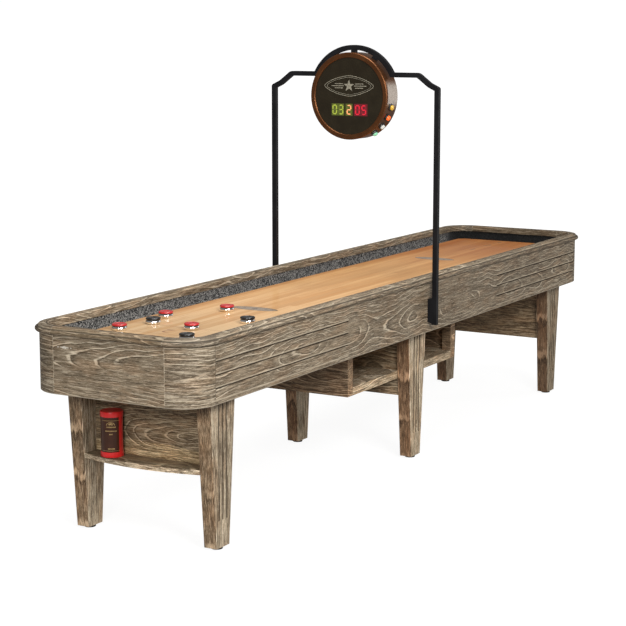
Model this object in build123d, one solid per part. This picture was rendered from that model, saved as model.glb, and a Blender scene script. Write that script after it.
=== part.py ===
"""Home shuffleboard table with an arch-mounted electronic scorer.

Units are millimetres. +X runs along the table, +Y across it, +Z up. The origin is on the floor, under the
middle of the table.
"""
from build123d import *
import os
from math import cos, radians, sin

os.makedirs("parts", exist_ok=True)

# Cabinet
HALF_LENGTH = 1825.0
HALF_WIDTH = 371.0
CORNER_RADIUS = 130.0
APRON_THICKNESS = 28.0
CABINET_BOTTOM = 565.0
RAIL_TOP = 813.0
RAIL_HEIGHT = 28.0
RAIL_OVERHANG = 16.0
RAIL_INNER = 39.0
BOTTOM_CHAMFER = 3.0
RAIL_BOTTOM = RAIL_TOP - RAIL_HEIGHT
CORNER_X = HALF_LENGTH - CORNER_RADIUS
CORNER_Y = HALF_WIDTH - CORNER_RADIUS
INNER_X = HALF_LENGTH - APRON_THICKNESS
INNER_Y = HALF_WIDTH - APRON_THICKNESS
INNER_RADIUS = CORNER_RADIUS - APRON_THICKNESS

# Decorative grooves on the long aprons
GROOVE_HEIGHTS = (721.0, 673.0, 625.0)
GROOVE_DEPTH = 4.5
GROOVE_WIDTH = 6.5
GROOVE_START = 725.0

# Gutter and playing surface
BOARD_THICKNESS = 18.0
BOARD_TOP = 673.0
CARPET = 4.0
PLAYFIELD_TOP = 761.0
PLAYFIELD_THICKNESS = 44.0
PLAYFIELD_BOTTOM = PLAYFIELD_TOP - PLAYFIELD_THICKNESS
PLAYFIELD_HALF_LENGTH = 1655.0
PLAYFIELD_HALF_WIDTH = 254.0
PLAYFIELD_CORNER = 45.0
CRADLE_PLACES = (-1500.0, -1100.0, -400.0, 0.0, 400.0, 1100.0, 1500.0)
CRADLE_SIZE = (60.0, 420.0)

# Climatic adjusters under the playing surface
ADJUSTER_PLACES = {"near": -750.0, "far": 750.0}
ADJUSTER_Z = 692.0
ADJUSTER_ROD_RADIUS = 6.0
ADJUSTER_PLATE = (165.0, 215.0)
ADJUSTER_PLATE_BOTTOM = 680.0
ADJUSTER_PLATE_WIDTH = 50.0
ADJUSTER_PLATE_GAUGE = 6.0
TURNBUCKLE_FLATS = 21.0
TURNBUCKLE_LENGTH = 130.0
TURNBUCKLE_GAP = 24.0
THREAD_CLEARANCE = 0.3

# Legs
LEG_PLACES = {"near": -1569.0, "mid": 0.0, "far": 1569.0}
LEG_Y = 287.0
LEG_TOP_SIZE = (166.0, 62.0)
LEG_FOOT_SIZE = (86.0, 56.0)
LEG_BOTTOM = 10.0
FLUTE_SPACING = 25.0
FLUTE_RADIUS = 6.5
FLUTE_DEPTH = 5.0
FLUTE_START = 112.0
BEAM_OFFSET = 60.0
BEAM_THICKNESS = 45.0
BEAM_TOP = BOARD_TOP - BOARD_THICKNESS
BEARER_PLACES = (-790.0, 790.0)
LEG_BOLT_RADIUS = 5.0
LEG_BOLT_BOTTOM = 480.0
NUT_POCKET_BOTTOM = 640.0
NUT_POCKET_RADIUS = 13.0

# Levellers
FOOT_RADIUS = 22.0
FOOT_HEIGHT = 6.0
STEM_RADIUS = 5.3
STEM_TOP = 62.0

# Transverse panels, end shelves and the storage box in the middle
PANEL_THICKNESS = 22.0
PANEL_BOTTOM = 284.0
PANEL_HALF_WIDTH = LEG_Y - LEG_TOP_SIZE[1] / 2
END_PANEL_FACE = 1560.0
MID_PANEL_FACE = 58.0
SHELF_TOP = 302.0
SHELF_EDGE = 1632.0
SHELF_BOW = 35.0
BOX_END = 517.0
BOX_HALF_WIDTH = 255.0
BOX_BOTTOM = 360.0
BOX_FLOOR_TOP = 395.0
BOX_FLOOR_THICKNESS = 18.0
BOX_PANEL = 15.0
STILE = (44.0, 42.0)

# Arch
TUBE = 21.0
TUBE_WALL = 2.0
UPRIGHT_Y = 402.0
UPRIGHT_BOTTOM = 600.0
ARCH_SPLIT = 1560.0
SHOULDER_Z = 1612.0
SHOULDER_BEND = (366.0, 1629.0)
BAR_START = 312.0
BAR_Z = 1670.0
RING_INNER = 198.0
BRACKET_HEIGHTS = (614.0, 712.0)
BRACKET_FLARE = 10.0
BRACKET_BOLTS = (636.0, 694.0)
BRACKET_BOLT_RADIUS = 4.0

# Scorer drum, its axis along X
DRUM_Z = 1577.0
DRUM_RADIUS = 187.0
DRUM_FRONT = -52.0
RIM_DEPTH = 12.0
RIM_WIDTH = 22.0
DRUM_BACK = 50.0
DRUM_WALL = 4.0
TAB_ANGLES = (-32.0, 0.0, 32.0)
TAB_WIDTH = 22.0
BUTTON_ANGLES = {"yellow": 14.0, "red": 28.0, "white": 42.0, "green": 56.0}
BUTTON_RADIUS = 11.0
BUTTON_TOP = 204.0
BUTTON_BOTTOM = 181.0
BUTTON_X = -8.0
BUTTON_COLLAR = 4.0
BUTTON_CLEARANCE = 0.4
SWITCH_RADIUS = 7.0
SWITCH_TOP = 177.0
SWITCH_STRIP = (166.0, 170.0)
DIGIT_MODULES = ((54.0, 62.0), (0.0, 28.0), (-54.0, 62.0))
DIGIT_Z = 1522.0
DIGIT_HEIGHT = 52.0
FACE_RECESS = 7.0
FACE_THICKNESS = 4.0
MODULE_DEPTH = 10.0
INLET_DROP = 130.0
INLET_RADIUS = 8.0
INLET_BORE = 3.0

# Loose pieces
PUCK_RADIUS = 29.35
PUCK_BASE_HEIGHT = 17.0
PUCK_CAP_HEIGHT = 8.0
PUCK_WAIST = 12.0
PUCK_WAIST_DEPTH = 2.0
PUCK_EDGE = 1.5
PUCK_CROWN = 9.0
PUCK_GAP = 0.3
PUCKS = {
    "red_1": (-1518.0, 170.0),
    "red_2": (-1200.0, 179.0),
    "red_3": (-1375.0, -58.0),
    "red_4": (-956.0, 53.0),
    "black_1": (-1344.0, 138.0),
    "black_2": (-1567.0, -165.0),
    "black_3": (-1153.0, -166.0),
}
GUTTER_PUCK = (-1250.0, -297.0)
CANISTER = (-1607.0, 148.0)
CANISTER_RADIUS = 41.5
CANISTER_CAP_RADIUS = 43.0
CANISTER_TOP = 474.0
CANISTER_WALL = 1.5
CANISTER_CAP_HEIGHT = 20.0
CANISTER_CAP_WALL = 2.0


def block(x, y, z):
    """A box from three (low, high) pairs."""
    size = [high - low for low, high in (x, y, z)]
    middle = [(high + low) / 2 for low, high in (x, y, z)]
    return Pos(*middle) * Box(*size)


def rod(start, end, radius):
    """A cylinder between two points."""
    start, end = Vector(*start), Vector(*end)
    plane = Plane(origin=start, z_dir=end - start)
    return extrude(plane * Circle(radius), (end - start).length)


def hexagon(start, end, flats):
    """A hexagonal bar between two points."""
    start, end = Vector(*start), Vector(*end)
    plane = Plane(origin=start, z_dir=end - start)
    return extrude(plane * RegularPolygon(flats / 2, 6, major_radius=False), (end - start).length)


def rounded_plate(half_length, half_width, radius, low, high):
    """A flat plate with rounded corners, centred on the table."""
    outline = RectangleRounded(2 * half_length, 2 * half_width, radius)
    return extrude(Pos(0, 0, low) * outline, high - low)


def four_corners(piece):
    """A piece of the -X -Y corner, and its three mirror images."""
    across = mirror(piece, Plane.XZ)
    return [piece, across, mirror(piece, Plane.YZ), mirror(across, Plane.YZ)]


def save(name, *pieces):
    """Write one node: one solid, or a group of separate solids."""
    solids = [solid for piece in pieces for solid in piece.solids()]
    shape = solids[0] if len(solids) == 1 else Compound(children=solids)
    shape.label = name
    export_step(shape, f"parts/{name}.step")


def side_plane(x, z):
    """Section plane of the -Y side: local x points out of the cabinet, local y points up."""
    return Plane(origin=(x, -HALF_WIDTH, z), x_dir=(0, -1, 0), z_dir=(-1, 0, 0))


def end_plane(y, z):
    """Section plane of the -X end: local x points out of the cabinet, local y points up."""
    return Plane(origin=(-HALF_LENGTH, y, z), x_dir=(-1, 0, 0), z_dir=(0, 1, 0))


def corner_turn(section):
    """Turn a side section a quarter round the -X -Y corner."""
    axis = Axis((-CORNER_X, -CORNER_Y, 0), (0, 0, -1))
    return revolve(side_plane(-CORNER_X, 0) * section, axis, 90)


def apron_section():
    """Plain apron board with an eased lower outer edge."""
    return make_face(
        Polyline(
            (-APRON_THICKNESS, CABINET_BOTTOM),
            (-BOTTOM_CHAMFER, CABINET_BOTTOM),
            (0, CABINET_BOTTOM + BOTTOM_CHAMFER),
            (0, RAIL_BOTTOM),
            (-APRON_THICKNESS, RAIL_BOTTOM),
            close=True,
        )
    )


def rail_section():
    """Rail moulding: low bullnose, quirk, rounded shoulder, flat top, V line and inner bead."""
    low = RAIL_BOTTOM
    top = RAIL_TOP
    inner = -RAIL_INNER
    nose = ThreePointArc((6.5, low), (RAIL_OVERHANG, low + 9.5), (6.5, low + 19))
    quirk = Line((6.5, low + 19), (5.5, low + 19))
    shoulder = TangentArc((5.5, low + 19), (-3.5, top), tangent=(0, 1))
    flat = Polyline((-3.5, top), (-24, top), (-26, top - 2.5), (-28, top), (-33, top))
    bead = TangentArc((-33, top), (inner, top - 6), tangent=(-1, 0))
    back = Polyline((inner, top - 6), (inner, low), (6.5, low))
    return make_face([nose, quirk, shoulder, flat, bead, back])


def grooves():
    """The V grooves of one long apron, on the -Y side: two runs of three."""
    half = GROOVE_WIDTH / 2 + 1
    cutter = Polyline((1, -half), (1, half), (-GROOVE_DEPTH, 0), close=True)
    cuts = []
    for height in GROOVE_HEIGHTS:
        for start in (-GROOVE_START, CORNER_X):
            cuts.append(extrude(side_plane(start, height) * make_face(cutter), CORNER_X - GROOVE_START))
    return cuts


def bracket_bolt_holes():
    """Bolt holes of the right scorer bracket, with pockets for the heads inside the apron."""
    holes = []
    for height in BRACKET_BOLTS:
        holes.append(rod((0, -INNER_Y, height), (0, -HALF_WIDTH, height), BRACKET_BOLT_RADIUS))
        holes.append(rod((0, -INNER_Y, height), (0, -INNER_Y - 7, height), 8))
    return holes


def make_cabinet():
    side = extrude(side_plane(CORNER_X, 0) * apron_section(), 2 * CORNER_X)
    for cut in grooves() + bracket_bolt_holes():
        side -= cut
    save("side_apron_right", side)
    save("side_apron_left", mirror(side, Plane.XZ))
    end = extrude(end_plane(-CORNER_Y, 0) * apron_section(), 2 * CORNER_Y)
    save("end_apron_near", end)
    save("end_apron_far", mirror(end, Plane.YZ))
    save("corner_blocks", *four_corners(corner_turn(apron_section())))


def make_rails():
    section = rail_section()
    halves = [
        extrude(side_plane(0, 0) * section, CORNER_X),
        extrude(side_plane(CORNER_X, 0) * section, CORNER_X),
    ]
    save("top_rail_right", *halves)
    save("top_rail_left", *[mirror(half, Plane.XZ) for half in halves])
    end = extrude(end_plane(-CORNER_Y, 0) * section, 2 * CORNER_Y)
    save("top_rail_near", end)
    save("top_rail_far", mirror(end, Plane.YZ))
    save("top_rail_corners", *four_corners(corner_turn(section)))


def make_gutter():
    board_low = BOARD_TOP - BOARD_THICKNESS
    save("gutter_board", rounded_plate(INNER_X, INNER_Y, INNER_RADIUS, board_low, BOARD_TOP))
    carpet = rounded_plate(INNER_X, INNER_Y, INNER_RADIUS, BOARD_TOP, RAIL_BOTTOM)
    carpet -= rounded_plate(
        INNER_X - CARPET, INNER_Y - CARPET, INNER_RADIUS - CARPET, BOARD_TOP + CARPET, RAIL_BOTTOM
    )
    under = PLAYFIELD_HALF_WIDTH - 29
    carpet -= rounded_plate(PLAYFIELD_HALF_LENGTH - 35, under, 20, BOARD_TOP, RAIL_BOTTOM)
    save("gutter_carpet", carpet)


def make_playfield():
    slab = rounded_plate(
        PLAYFIELD_HALF_LENGTH, PLAYFIELD_HALF_WIDTH, PLAYFIELD_CORNER, PLAYFIELD_BOTTOM, PLAYFIELD_TOP
    )
    save("playfield", fillet(slab.faces().sort_by(Axis.Z)[-1].edges(), 2.5))
    width, depth = CRADLE_SIZE
    cradles = [
        block((x - width / 2, x + width / 2), (-depth / 2, depth / 2), (BOARD_TOP, PLAYFIELD_BOTTOM))
        for x in CRADLE_PLACES
    ]
    save("cradle_blocks", *cradles)


def make_adjusters():
    """Angle plates under the board, joined by a screw from each side and a turnbuckle between them."""
    hardware = []
    inner, outer = ADJUSTER_PLATE
    flange = PLAYFIELD_BOTTOM - ADJUSTER_PLATE_GAUGE
    for place, x in ADJUSTER_PLACES.items():
        width = (x - ADJUSTER_PLATE_WIDTH / 2, x + ADJUSTER_PLATE_WIDTH / 2)
        plate = block(width, ADJUSTER_PLATE, (flange, PLAYFIELD_BOTTOM))
        plate += block(width, (outer - ADJUSTER_PLATE_GAUGE, outer), (ADJUSTER_PLATE_BOTTOM, flange))
        plate -= rod((x, inner, ADJUSTER_Z), (x, outer + 5, ADJUSTER_Z), ADJUSTER_ROD_RADIUS + 0.2)
        screw = rod((x, TURNBUCKLE_GAP / 2, ADJUSTER_Z), (x, outer + 9, ADJUSTER_Z), ADJUSTER_ROD_RADIUS)
        screw += hexagon((x, outer, ADJUSTER_Z), (x, outer + 7, ADJUSTER_Z), 19)
        hardware += [plate, screw, mirror(plate, Plane.XZ), mirror(screw, Plane.XZ)]
        half = TURNBUCKLE_LENGTH / 2
        ends = ((x, -half, ADJUSTER_Z), (x, half, ADJUSTER_Z))
        sleeve = hexagon(*ends, TURNBUCKLE_FLATS)
        sleeve -= rod(*ends, ADJUSTER_ROD_RADIUS + THREAD_CLEARANCE)
        save(f"turnbuckle_{place}", sleeve)
    save("adjuster_hardware", *hardware)


def leg_bolt_places():
    """Leg, side and bolt positions: two bolts over each leg."""
    return [
        (x + offset, side * LEG_Y)
        for x in LEG_PLACES.values()
        for side in (-1, 1)
        for offset in (-BEAM_OFFSET, BEAM_OFFSET)
    ]


def make_beams():
    places = [x + offset for x in LEG_PLACES.values() for offset in (-BEAM_OFFSET, BEAM_OFFSET)]
    beams = []
    for x in places + list(BEARER_PLACES):
        half = BEAM_THICKNESS / 2
        beam = block((x - half, x + half), (-INNER_Y, INNER_Y), (CABINET_BOTTOM, BEAM_TOP))
        for bolt_x, y in leg_bolt_places():
            if abs(bolt_x - x) < 1:
                top = (x, y, BEAM_TOP)
                beam -= rod((x, y, CABINET_BOTTOM), top, LEG_BOLT_RADIUS)
                beam -= rod((x, y, NUT_POCKET_BOTTOM), top, NUT_POCKET_RADIUS)
        beams.append(beam)
    save("cross_beams", *beams)
    bolts = []
    for x, y in leg_bolt_places():
        bolt = rod((x, y, LEG_BOLT_BOTTOM), (x, y, BEAM_TOP - 2), LEG_BOLT_RADIUS)
        bolt += rod((x, y, NUT_POCKET_BOTTOM), (x, y, NUT_POCKET_BOTTOM + 2), 11)
        bolt += hexagon((x, y, NUT_POCKET_BOTTOM + 2), (x, y, NUT_POCKET_BOTTOM + 10), 17)
        bolts.append(bolt)
    save("leg_bolts", *bolts)


def make_leg(x):
    """One leg of the -Y side: a tapered slab with three flutes down its outer face."""
    top = Pos(x, -LEG_Y, CABINET_BOTTOM) * Rectangle(*LEG_TOP_SIZE)
    foot = Pos(x, -LEG_Y, LEG_BOTTOM) * Rectangle(*LEG_FOOT_SIZE)
    leg = loft([foot, top])
    corners = [edge for edge in leg.edges() if edge.length > 500]
    leg = chamfer(corners, 2)
    height = CABINET_BOTTOM - LEG_BOTTOM
    lean = (LEG_TOP_SIZE[1] - LEG_FOOT_SIZE[1]) / 2 / height
    stand_off = FLUTE_RADIUS - FLUTE_DEPTH
    for offset in (-FLUTE_SPACING, 0, FLUTE_SPACING):
        ends = []
        for z in (FLUTE_START, CABINET_BOTTOM + 5):
            face = LEG_Y + LEG_FOOT_SIZE[1] / 2 + lean * (z - LEG_BOTTOM)
            ends.append((x + offset, -face - stand_off, z))
        leg -= rod(ends[0], ends[1], FLUTE_RADIUS)
    for bolt_x in (x - BEAM_OFFSET, x + BEAM_OFFSET):
        start = (bolt_x, -LEG_Y, LEG_BOLT_BOTTOM)
        leg -= rod(start, (bolt_x, -LEG_Y, CABINET_BOTTOM), LEG_BOLT_RADIUS)
    leg -= rod((x, -LEG_Y, LEG_BOTTOM), (x, -LEG_Y, STEM_TOP + 6), STEM_RADIUS + THREAD_CLEARANCE)
    return leg


def make_leveller(x):
    """One screw-in leveller: round foot, hexagon and threaded stem."""
    foot = rod((x, -LEG_Y, 0), (x, -LEG_Y, FOOT_HEIGHT), FOOT_RADIUS)
    foot = chamfer(foot.edges().filter_by(GeomType.CIRCLE), 1)
    foot += hexagon((x, -LEG_Y, FOOT_HEIGHT), (x, -LEG_Y, FOOT_HEIGHT + 3), 17)
    foot += rod((x, -LEG_Y, FOOT_HEIGHT), (x, -LEG_Y, STEM_TOP), STEM_RADIUS)
    return foot


def make_legs():
    for place, x in LEG_PLACES.items():
        for name, piece in (("leg", make_leg(x)), ("leveller", make_leveller(x))):
            save(f"{name}_{place}_right", piece)
            save(f"{name}_{place}_left", mirror(piece, Plane.XZ))


def make_panels():
    """A panel at each end and two in the middle, between the legs, and a bowed shelf at each end."""
    width = (-PANEL_HALF_WIDTH, PANEL_HALF_WIDTH)
    panels = []
    for face in (END_PANEL_FACE, MID_PANEL_FACE):
        panel = block((-face, PANEL_THICKNESS - face), width, (PANEL_BOTTOM, CABINET_BOTTOM))
        panels += [panel, mirror(panel, Plane.YZ)]
    back = -END_PANEL_FACE
    outline = [
        Polyline((-SHELF_EDGE, width[0]), (back, width[0]), (back, width[1]), (-SHELF_EDGE, width[1])),
        ThreePointArc((-SHELF_EDGE, width[0]), (-SHELF_EDGE - SHELF_BOW, 0), (-SHELF_EDGE, width[1])),
    ]
    shelf = extrude(Pos(0, 0, PANEL_BOTTOM) * make_face(outline), SHELF_TOP - PANEL_BOTTOM)
    save("leg_panels", *panels)
    save("end_shelves", shelf, mirror(shelf, Plane.YZ))


def make_box():
    """Open storage box under the middle: two end panels with stiles, two floor boards with front lips."""
    height = (BOX_BOTTOM, CABINET_BOTTOM)
    stile_in = -BOX_END + STILE[0]
    lip = BOX_HALF_WIDTH - STILE[1]
    end = block((-BOX_END, -BOX_END + BOX_PANEL), (-BOX_HALF_WIDTH, BOX_HALF_WIDTH), height)
    for low, high in ((-BOX_HALF_WIDTH, -lip), (lip, BOX_HALF_WIDTH)):
        end += block((-BOX_END, stile_in), (low, high), height)
    save("box_ends", end, mirror(end, Plane.YZ))
    inner = -MID_PANEL_FACE
    low = BOX_FLOOR_TOP - BOX_FLOOR_THICKNESS
    floor = block((-BOX_END + BOX_PANEL, inner), (-lip, lip), (low, BOX_FLOOR_TOP))
    for near, far in ((-BOX_HALF_WIDTH, -lip), (lip, BOX_HALF_WIDTH)):
        floor += block((stile_in, inner), (near, far), (BOX_BOTTOM, BOX_FLOOR_TOP))
    save("box_floors", floor, mirror(floor, Plane.YZ))


def make_arch():
    half = TUBE / 2
    low, high = BRACKET_HEIGHTS
    out = UPRIGHT_Y - half
    profile = Polyline(
        (0, -HALF_WIDTH, low),
        (0, -out, low - BRACKET_FLARE),
        (0, -out, high + BRACKET_FLARE / 2),
        (0, -HALF_WIDTH, high),
        close=True,
    )
    bracket = extrude(make_face(profile), half, both=True)
    bolts = []
    for z in BRACKET_BOLTS:
        bracket -= rod((0, -HALF_WIDTH, z), (0, -out + 5, z), BRACKET_BOLT_RADIUS)
        bolt = rod((0, -INNER_Y - 2, z), (0, -out + 5, z), BRACKET_BOLT_RADIUS)
        bolt += hexagon((0, -INNER_Y - 1.5, z), (0, -INNER_Y - 7, z), 13)
        bolts.append(bolt)
    save("arch_brackets", bracket, mirror(bracket, Plane.XZ))
    save("bracket_bolts", *bolts, *[mirror(bolt, Plane.XZ) for bolt in bolts])

    bore = half - TUBE_WALL
    span = (UPRIGHT_BOTTOM, ARCH_SPLIT)
    upright = block((-half, half), (-UPRIGHT_Y - half, -UPRIGHT_Y + half), span)
    upright -= block((-bore, bore), (-UPRIGHT_Y - bore, -UPRIGHT_Y + bore), (UPRIGHT_BOTTOM + 3, ARCH_SPLIT))
    save("arch_uprights", upright, mirror(upright, Plane.XZ))

    ring_outer = RING_INNER + TUBE
    path = FilletPolyline(
        (UPRIGHT_Y, ARCH_SPLIT - 30),
        (UPRIGHT_Y, SHOULDER_Z),
        SHOULDER_BEND,
        (BAR_START, BAR_Z),
        (RING_INNER - 20, BAR_Z),
        radius=[0.5, 60, 24],
    )
    shoulder = make_face(offset(path, half, side=Side.BOTH, kind=Kind.INTERSECTION))
    shoulder &= Pos(0, ARCH_SPLIT + 250) * Rectangle(1000, 500)
    centre = Pos(0, DRUM_Z)
    ring = centre * (Circle(ring_outer) - Circle(RING_INNER))
    ring &= Pos(0, BAR_Z - half + 250) * Rectangle(600, 500)
    outline = ring + (shoulder - centre * Circle(RING_INNER + 5))
    outline += mirror(shoulder - centre * Circle(RING_INNER + 5), Plane.YZ)
    upright_plane = Plane(origin=(-half, 0, 0), x_dir=(0, 1, 0), z_dir=(1, 0, 0))
    top = extrude(upright_plane * outline, TUBE)
    plug = bore - 0.15
    for side in (-1, 1):
        y = side * UPRIGHT_Y
        top += block((-plug, plug), (y - plug, y + plug), (ARCH_SPLIT - 60, ARCH_SPLIT + 5))
    save("arch_top", top)


def drum_cylinder(radius, start, end):
    """A disc or cylinder on the drum's axis."""
    return rod((start, 0, DRUM_Z), (end, 0, DRUM_Z), radius)


def button_point(angle, distance):
    """A point at a distance from the drum's axis, at an angle below the horizontal on the -Y side."""
    turn = radians(angle)
    return (BUTTON_X, -distance * cos(turn), DRUM_Z - distance * sin(turn))


def make_drum():
    rim_back = DRUM_FRONT + RIM_DEPTH
    shell = drum_cylinder(DRUM_RADIUS, rim_back, DRUM_BACK)
    shell -= drum_cylinder(DRUM_RADIUS - DRUM_WALL, rim_back, DRUM_BACK - DRUM_WALL)
    for angle in BUTTON_ANGLES.values():
        collar = (button_point(angle, DRUM_RADIUS - 3), button_point(angle, DRUM_RADIUS + 5))
        shell += rod(*collar, BUTTON_RADIUS + BUTTON_COLLAR)
        hole = (button_point(angle, BUTTON_BOTTOM - 11), button_point(angle, BUTTON_TOP + 11))
        shell -= rod(*hole, BUTTON_RADIUS + BUTTON_CLEARANCE)
    inlet = DRUM_Z - INLET_DROP
    ends = ((DRUM_BACK - DRUM_WALL, 0, inlet), (DRUM_BACK + 2, 0, inlet))
    shell += rod(*ends, INLET_RADIUS)
    shell -= rod(*ends, INLET_BORE)
    save("drum_shell", shell)

    face_radius = DRUM_RADIUS - RIM_WIDTH
    rim = drum_cylinder(DRUM_RADIUS + 1, DRUM_FRONT, rim_back)
    rim -= drum_cylinder(face_radius, DRUM_FRONT, rim_back)
    front = rim.edges().filter_by(GeomType.CIRCLE).group_by(Axis.X)[0]
    save("drum_rim", fillet(front, 5))
    face_front = rim_back - FACE_RECESS
    face_back = face_front + FACE_THICKNESS
    save("drum_face", drum_cylinder(face_radius, face_front, face_back))

    modules = []
    height = (DIGIT_Z - DIGIT_HEIGHT / 2, DIGIT_Z + DIGIT_HEIGHT / 2)
    for y, width in DIGIT_MODULES:
        sides = (y - width / 2, y + width / 2)
        modules.append(block((face_back, face_back + MODULE_DEPTH), sides, height))
    save("digit_modules", *modules)
    board_front = face_back + MODULE_DEPTH
    save("circuit_board", block((board_front, board_front + 1.6), (-105, 105), (DIGIT_Z - 45, DIGIT_Z + 75)))
    make_switches()
    make_tabs()

    for colour, angle in BUTTON_ANGLES.items():
        button = rod(button_point(angle, BUTTON_BOTTOM), button_point(angle, BUTTON_TOP), BUTTON_RADIUS)
        save(f"button_{colour}", button)


def make_switches():
    """A curved strip inside the drum with a spring-return switch under each button."""
    low, high = SWITCH_STRIP
    sides = (BUTTON_X - 10, BUTTON_X + 10)
    strip = drum_cylinder(high, *sides) - drum_cylinder(low, *sides)
    reach = [(0, 0, DRUM_Z)] + [button_point(angle, 300) for angle in (2, 25, 47, 68)]
    wedge = make_face(Polyline(*[(BUTTON_X, y, z) for _, y, z in reach], close=True))
    strip &= extrude(wedge, 40, both=True)
    for angle in BUTTON_ANGLES.values():
        strip += rod(button_point(angle, low), button_point(angle, SWITCH_TOP), SWITCH_RADIUS)
    save("button_switches", strip)


def make_tabs():
    """Three short tabs that hold the drum inside the ring of the arch."""
    tabs = []
    for angle in TAB_ANGLES:
        tab = block((-TUBE / 2, TUBE / 2), (-TAB_WIDTH / 2, TAB_WIDTH / 2), (DRUM_RADIUS - 5, RING_INNER + 5))
        tab = Pos(0, 0, DRUM_Z) * Rot(angle, 0, 0) * tab
        tab -= drum_cylinder(DRUM_RADIUS, -20, 20)
        tab &= drum_cylinder(RING_INNER, -20, 20)
        tabs.append(tab)
    save("drum_tabs", *tabs)


def make_puck(x, y, floor):
    """A weighted base with a waist groove, and a shallow domed cap."""
    waist = PUCK_RADIUS - PUCK_WAIST_DEPTH
    base_outline = Polyline(
        (0, 0),
        (PUCK_RADIUS - PUCK_EDGE, 0),
        (PUCK_RADIUS, PUCK_EDGE),
        (PUCK_RADIUS, PUCK_WAIST - PUCK_WAIST_DEPTH),
        (waist, PUCK_WAIST),
        (waist, PUCK_BASE_HEIGHT),
        (0, PUCK_BASE_HEIGHT),
        close=True,
    )
    low = PUCK_BASE_HEIGHT
    high = low + PUCK_CAP_HEIGHT
    side = (PUCK_RADIUS - PUCK_EDGE, high - 3)
    crown = (PUCK_RADIUS - PUCK_CROWN, high)
    cap_outline = [
        Polyline((0, low), (PUCK_RADIUS - PUCK_EDGE, low), side),
        TangentArc(crown, side, tangent=(1, 0)),
        Polyline(crown, (0, high), (0, low)),
    ]
    place = Pos(x, y, floor)
    base = revolve(Plane.XZ * make_face(base_outline), Axis.Z)
    cap = revolve(Plane.XZ * make_face(cap_outline), Axis.Z)
    return place * base, place * cap


def make_loose_pieces():
    for name, (x, y) in PUCKS.items():
        save(f"puck_{name}", *make_puck(x, y, PLAYFIELD_TOP + PUCK_GAP))
    save("puck_black_4", *make_puck(*GUTTER_PUCK, BOARD_TOP + CARPET + PUCK_GAP))

    x, y = CANISTER
    low = SHELF_TOP + PUCK_GAP
    inside = low + CANISTER_CAP_WALL
    ends = ((x, y, inside), (x, y, CANISTER_TOP - 2 * CANISTER_CAP_WALL))
    tube = rod(*ends, CANISTER_RADIUS) - rod(*ends, CANISTER_RADIUS - CANISTER_WALL)
    cup_top = (x, y, low + CANISTER_CAP_HEIGHT)
    cup = rod((x, y, low), cup_top, CANISTER_CAP_RADIUS) - rod((x, y, inside), cup_top, CANISTER_RADIUS)
    save("canister_body", tube, cup)
    rim = (x, y, CANISTER_TOP - CANISTER_CAP_HEIGHT)
    lid = rod(rim, (x, y, CANISTER_TOP), CANISTER_CAP_RADIUS)
    lid -= rod(rim, (x, y, CANISTER_TOP - CANISTER_CAP_WALL), CANISTER_RADIUS + THREAD_CLEARANCE)
    save("canister_lid", lid)


make_cabinet()
make_rails()
make_gutter()
make_playfield()
make_adjusters()
make_beams()
make_legs()
make_panels()
make_box()
make_arch()
make_drum()
make_loose_pieces()
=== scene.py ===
"""Looks of the home shuffleboard table: materials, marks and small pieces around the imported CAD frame.

Everything is in metres, in the CAD's frame: +X along the table away from the puck end, +Z up.
"""
from math import copysign, cos, pi, radians, sin

import bmesh
import bpy
from mathutils import Matrix, Vector


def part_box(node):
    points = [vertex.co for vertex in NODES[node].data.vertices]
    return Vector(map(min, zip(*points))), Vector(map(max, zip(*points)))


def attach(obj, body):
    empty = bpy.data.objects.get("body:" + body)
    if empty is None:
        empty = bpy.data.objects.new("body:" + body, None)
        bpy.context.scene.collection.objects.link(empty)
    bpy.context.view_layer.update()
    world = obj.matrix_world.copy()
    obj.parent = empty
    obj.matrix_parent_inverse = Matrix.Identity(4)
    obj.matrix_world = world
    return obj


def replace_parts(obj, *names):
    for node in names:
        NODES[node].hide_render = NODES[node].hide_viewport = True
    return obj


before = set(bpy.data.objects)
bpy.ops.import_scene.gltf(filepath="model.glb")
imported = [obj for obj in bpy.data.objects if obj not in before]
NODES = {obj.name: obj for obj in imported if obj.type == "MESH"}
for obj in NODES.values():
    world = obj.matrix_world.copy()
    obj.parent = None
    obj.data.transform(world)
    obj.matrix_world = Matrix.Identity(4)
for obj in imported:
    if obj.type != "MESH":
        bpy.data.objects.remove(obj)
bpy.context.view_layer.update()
MM = 0.001

# Places shared by several pieces, from the CAD's boxes
CORNER_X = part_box("side_apron_right")[1].x
CORNER_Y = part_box("end_apron_near")[1].y
CORNER_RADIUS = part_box("corner_blocks")[1].y - CORNER_Y
LEG_X = (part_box("leg_far_left")[0].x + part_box("leg_far_left")[1].x) / 2
LEG_Y = (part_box("leg_far_left")[0].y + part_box("leg_far_left")[1].y) / 2
FIELD_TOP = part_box("playfield")[1].z
FIELD_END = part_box("playfield")[1].x
DRUM_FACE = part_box("drum_face")[0].x
DRUM_Z = (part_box("drum_face")[0].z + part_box("drum_face")[1].z) / 2
SIDE_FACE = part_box("side_apron_left")[1].y
END_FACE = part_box("end_apron_far")[1].x
APRON_MIDDLE = (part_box("side_apron_right")[0].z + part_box("side_apron_right")[1].z) / 2
APRON_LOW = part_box("side_apron_right")[0].z
RAIL_LOW, RAIL_TOP = (corner.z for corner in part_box("top_rail_right"))
LEG_TOP_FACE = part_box("leg_far_left")[1].y
LEG_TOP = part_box("leg_far_left")[1].z

# Grooves of a side board: the lowest one's height on it, their spacing and where each run starts
GROOVE_FIRST = 0.060
GROOVE_PITCH = 0.048
GROOVE_START = 0.725
GROOVE_RUN_TOP = APRON_LOW + GROOVE_FIRST + 2.4 * GROOVE_PITCH
GROOVE_LIP = (0.0034, 0.0078)

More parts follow.
